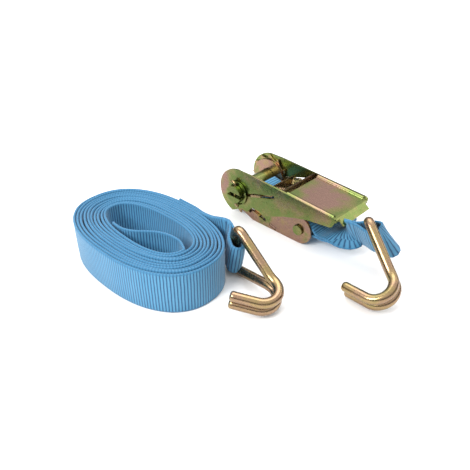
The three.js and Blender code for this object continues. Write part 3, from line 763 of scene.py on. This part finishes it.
def short_strap_stations(hooks, settings):
    far = Vector((0, 1, 0))
    layer = settings.thickness
    bolt_low, bolt_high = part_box("anchor_sleeve")
    bolt = (bolt_low + bolt_high) / 2
    radius = (bolt_high.z - bolt_low.z) / 2 + 0.0002 + layer / 2
    width = settings.width - 0.0004

    def at(x, z):
        return Station(Vector((bolt.x + x, bolt.y, bolt.z + z)), far, width)

    flap = [
        (-0.0415, 0.0112), (-0.037, 0.0100), (-0.033, 0.0080), (-0.026, 0.0042),
        (-0.018, 0.0052), (-0.010, 0.0066), (-0.004, 0.0072),
    ]
    stations = [at(x, z) for x, z in flap]
    stations.append(at(0.001, radius + layer * 1.0))
    stations.append(at(0.006, radius * 0.86))
    loop, place, bar = hook_loop("hook_short_strap", hooks, settings)
    along = (place.to_3x3() @ Vector((1, 0, 0))).normalized()
    end = place @ Vector((-LOOP_NECK, 0, 0))
    start = Vector((bolt.x + 0.011, bolt.y, bolt.z - 0.0005))
    knots = [
        start, start + Vector((0.003, 0, 0)), SPINDLE + Vector((0.066, -0.0005, -0.0078)),
        SPINDLE + Vector((0.0745, -0.0035, -0.0028)), end - along * 0.0025, end,
    ]
    line = doubled_run(rounded_path(knots, 0.003), far, bar, settings, 0.35)
    stations += layer_of(line, layer * 0.52)[:-1]
    stations += loop
    stations += list(reversed(layer_of(line, -layer * 0.52)))[1:]
    under = cubic(
        Vector((0.011, -0.0005 - layer / 2, 0)), Vector((0.007, -layer / 2 - 0.001, 0)),
        Vector((radius, -radius, 0)), Vector((0, -radius, 0)), 6,
    )
    stations += [at(p.x, p.y) for p in under[1:]]
    for step in range(1, 13):
        angle = radians(-90 - 170 * step / 12)
        stations.append(at(radius * cos(angle), radius * sin(angle)))
    return stations


# ---- Springs -------------------------------------------------------------------------------------
def make_spring(node, joint, springs, material):
    """A wound wire spring between a pawl and its seat."""
    low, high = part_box(node)
    centre = (low + high) / 2
    slide = Vector(JOINTS[joint]["axis"]).normalized()
    tilt = sqrt(1 - slide.x * slide.x)
    length = (high.x - low.x - 2 * springs.radius * tilt) / slide.x - 2 * springs.wire
    side = Vector((0, 1, 0))
    up = slide.cross(side)
    mean = springs.radius - springs.wire
    steps = int(springs.turns * 20)
    points = []
    for i in range(steps + 1):
        t = i / steps
        closed = 0.09
        share = max(0.0, min(1.0, (t - closed) / (1 - 2 * closed)))
        along = (share - 0.5) * (length - 4 * springs.wire) + (t - 0.5) * 4 * springs.wire
        angle = 2 * pi * springs.turns * t
        points.append(centre + slide * along + (side * cos(angle) + up * sin(angle)) * mean)
    vertices, faces = swept(points, springs.wire, 10, round_ends=False)
    piece = piece_from(node + "_wire", vertices, faces, material, None)
    ends = centre - slide * length / 2, centre + slide * length / 2
    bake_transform(piece)
    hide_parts(node)
    return piece


# ---- Operators -----------------------------------------------------------------------------------
def material_once(name, make):
    """A material by name, made the first time it is wanted."""
    return bpy.data.materials.get(name) or make()


def zinc(kind):
    steel = bpy.context.scene.tie_down_steel
    name = kind + "_zinc_plating"
    round_end = SPINDLE + Vector((-0.017, -0.016, 0.004))
    grip = SPINDLE + Vector((0.056, -0.002, 0.012))
    flushes = {"handle": ((round_end, 0.014, 0.35), (grip, 0.022, 0.3))}
    stops = steel_stops(steel, kind)
    return material_once(name, lambda: plated_steel(name, stops, flushes.get(kind, ())))


class TIEDOWN_OT_frame(bpy.types.Operator):
    """Makes the ratchet's two side plates and its cross plate."""

    bl_idname = "tiedown.frame"
    bl_label = "Frame plates"

    def execute(self, context):
        steel = context.scene.tie_down_steel
        for node in ("frame_plate_near", "frame_plate_far", "frame_cross_plate"):
            stamped(node, zinc("frame"), steel.edge)
        return {"FINISHED"}


class TIEDOWN_OT_spindle(bpy.types.Operator):
    """Makes the slotted spindle with its toothed wheels, washers and cotter pins."""

    bl_idname = "tiedown.spindle"
    bl_label = "Spindle"

    def execute(self, context):
        steel = context.scene.tie_down_steel
        for node in ("ratchet_wheel_near", "ratchet_wheel_far"):
            stamped(node, zinc("gold"), steel.edge * 0.8)
        for node in ("spindle_half_upper", "spindle_half_lower", "spindle_washer_near", "spindle_washer_far"):
            stamped(node, zinc("handle"), steel.edge)
        for node in ("cotter_pin_near", "cotter_pin_far"):
            stamped(node, zinc("gold"), steel.edge * 0.6, angle=60, smooth=60)
        return {"FINISHED"}


class TIEDOWN_OT_handle(bpy.types.Operator):
    """Makes the folding handle and the seat for its springs."""

    bl_idname = "tiedown.handle"
    bl_label = "Handle"

    def execute(self, context):
        steel = context.scene.tie_down_steel
        stamped("handle", zinc("handle"), steel.edge * 0.5, angle=50)
        stamped("handle_spring_seat", zinc("gold"), steel.edge)
        return {"FINISHED"}


class TIEDOWN_OT_pawls(bpy.types.Operator):
    """Makes the handle pawl and the frame pawl."""

    bl_idname = "tiedown.pawls"
    bl_label = "Pawls"

    def execute(self, context):
        steel = context.scene.tie_down_steel
        for node in ("handle_pawl", "frame_pawl"):
            stamped(node, zinc("gold"), steel.edge * 0.8)
        return {"FINISHED"}


class TIEDOWN_OT_springs(bpy.types.Operator):
    """Winds the four pawl springs."""

    bl_idname = "tiedown.springs"
    bl_label = "Springs"

    def execute(self, context):
        springs = context.scene.tie_down_springs
        for owner, joint in (("handle", "handle_pawl_slide"), ("frame", "frame_pawl_slide")):
            for end in ("near", "far"):
                make_spring(f"{owner}_spring_{end}", joint, springs, zinc("gold"))
        return {"FINISHED"}


class TIEDOWN_OT_anchor(bpy.types.Operator):
    """Makes the anchor bolt, its nut and the sleeve that carries the short strap."""

    bl_idname = "tiedown.anchor"
    bl_label = "Anchor bolt"

    def execute(self, context):
        steel = context.scene.tie_down_steel
        for node in ("anchor_bolt", "anchor_nut"):
            stamped(node, zinc("handle"), steel.edge * 1.6)
        stamped("anchor_sleeve", zinc("frame"), steel.edge)
        return {"FINISHED"}


class TIEDOWN_OT_hooks(bpy.types.Operator):
    """Bends the two wire hooks."""

    bl_idname = "tiedown.hooks"
    bl_label = "Hooks"

    def execute(self, context):
        for node in HOOKS:
            make_hook(node, context.scene.tie_down_hooks, zinc("gold"))
        return {"FINISHED"}


class TIEDOWN_OT_long_strap(bpy.types.Operator):
    """Winds the long strap into its coil and sews its end round the hook's bar."""

    bl_idname = "tiedown.long_strap"
    bl_label = "Long strap"

    def execute(self, context):
        scene = context.scene
        settings = scene.tie_down_webbing
        stations = long_strap_stations(scene.tie_down_coil, scene.tie_down_hooks, settings)
        cloth = material_once("blue_webbing", lambda: woven_webbing(settings))
        piece, run = make_strap("long_strap_webbing", stations, settings, cloth)
        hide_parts("long_strap")
        return {"FINISHED"}


class TIEDOWN_OT_short_strap(bpy.types.Operator):
    """Lays the short strap from the frame round the anchor sleeve and the hook's bar."""

    bl_idname = "tiedown.short_strap"
    bl_label = "Short strap"

    def execute(self, context):
        scene = context.scene
        settings = scene.tie_down_webbing
        stations = short_strap_stations(scene.tie_down_hooks, settings)
        cloth = material_once("blue_webbing", lambda: woven_webbing(settings))
        piece, run = make_strap("short_strap_webbing", stations, settings, cloth)
        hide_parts("short_strap")
        return {"FINISHED"}


def soft_light(name, place, target, size, power):
    light = bpy.data.lights.new(name, "AREA")
    light.shape = "RECTANGLE"
    light.size, light.size_y = size
    light.energy = power
    lamp = bpy.data.objects.new(name, light)
    lamp.location = place
    lamp.rotation_euler = (Vector(target) - Vector(place)).to_track_quat("-Z", "Y").to_euler()
    bpy.context.scene.collection.objects.link(lamp)


def studio_air(brightness):
    """A bright ceiling over dim walls. The walls that the camera itself looks at are pale."""
    world = bpy.data.worlds.new("studio_air")
    air = Shader(world)
    direction = air.node("ShaderNodeTexCoord", out="Generated")
    height = air.node("ShaderNodeSeparateXYZ", None, direction, out="Z")
    floor_glow, wall, ceiling = (0.10, 0.10, 0.11), (0.16, 0.16, 0.17), (1, 1, 1)
    walls = air.ramp(height, ((0.0, floor_glow), (0.30, wall), (0.62, ceiling), (1.0, ceiling)))
    seen = air.node("ShaderNodeLightPath", out="Is Camera Ray")
    colour = air.mix(seen, walls, (0.93, 0.93, 0.94))
    background = air.node("ShaderNodeBackground", None, Color=colour, Strength=brightness)
    output = air.tree.nodes.new("ShaderNodeOutputWorld")
    air.tree.links.new(background.socket, output.inputs["Surface"])
    bpy.context.scene.world = world


class TIEDOWN_OT_stage(bpy.types.Operator):
    """Makes the floor, the lights and the camera."""

    bl_idname = "tiedown.stage"
    bl_label = "Stage"

    def execute(self, context):
        scene = context.scene
        settings = scene.tie_down_stage
        reach = 3.0
        corners = [(-reach, -reach, 0), (reach, -reach, 0), (reach, reach, 0), (-reach, reach, 0)]
        floor = piece_from("floor", corners, [(0, 1, 2, 3)], pale_floor(settings), None, smooth=False)
        soft_light("softbox_above", (-0.15, 0.20, 0.70), (0, 0, 0), (0.6, 0.5), 2.8)
        soft_light("softbox_front", (-0.06, -0.50, 0.42), (0, 0, 0.01), (0.30, 0.25), 3.5)
        soft_light("softbox_back", (0.35, 0.60, 0.40), (0, 0, 0.02), (0.5, 0.12), 0.4)
        studio_air(1.35)
        camera = bpy.data.cameras.new("camera")
        camera.lens = settings.lens
        camera.sensor_width = 36
        camera.clip_start = 0.01
        eye = bpy.data.objects.new("camera", camera)
        eye.location = settings.camera
        ahead = Vector((
            cos(settings.heading) * cos(settings.down), sin(settings.heading) * cos(settings.down),
            -sin(settings.down),
        ))
        eye.rotation_euler = ahead.to_track_quat("-Z", "Y").to_euler()
        scene.collection.objects.link(eye)
        scene.camera = eye
        scene.view_settings.view_transform = "Standard"
        return {"FINISHED"}


class TIEDOWN_PT_panel(bpy.types.Panel):
    """Lists the steps that build the tie down."""

    bl_label = "Tie Down"
    bl_idname = "TIEDOWN_PT_panel"
    bl_space_type = "VIEW_3D"
    bl_region_type = "UI"
    bl_category = "Tie Down"

    def draw(self, context):
        for step in STEPS:
            self.layout.operator(step.bl_idname)
        for name, kind in SETTINGS.items():
            box = self.layout.box()
            box.label(text=kind.__doc__)
            for field in kind.__annotations__:
                box.prop(getattr(context.scene, name), field)


SETTINGS = {
    "tie_down_webbing": WebbingSettings,
    "tie_down_coil": CoilSettings,
    "tie_down_hooks": HookSettings,
    "tie_down_steel": SteelSettings,
    "tie_down_springs": SpringSettings,
    "tie_down_stage": StageSettings,
}
STEPS = (
    TIEDOWN_OT_stage, TIEDOWN_OT_long_strap, TIEDOWN_OT_short_strap, TIEDOWN_OT_hooks,
    TIEDOWN_OT_frame, TIEDOWN_OT_spindle, TIEDOWN_OT_handle, TIEDOWN_OT_pawls,
    TIEDOWN_OT_springs, TIEDOWN_OT_anchor,
)


def register():
    for kind in (*SETTINGS.values(), *STEPS, TIEDOWN_PT_panel):
        bpy.utils.register_class(kind)
    for name, kind in SETTINGS.items():
        setattr(bpy.types.Scene, name, PointerProperty(type=kind))


def unregister():
    for name in SETTINGS:
        delattr(bpy.types.Scene, name)
    for kind in reversed((*SETTINGS.values(), *STEPS, TIEDOWN_PT_panel)):
        bpy.utils.unregister_class(kind)


def main():
    register()
    for step in STEPS:
        group, name = step.bl_idname.split(".")
        getattr(getattr(bpy.ops, group), name)()


if __name__ == "__main__":
    main()
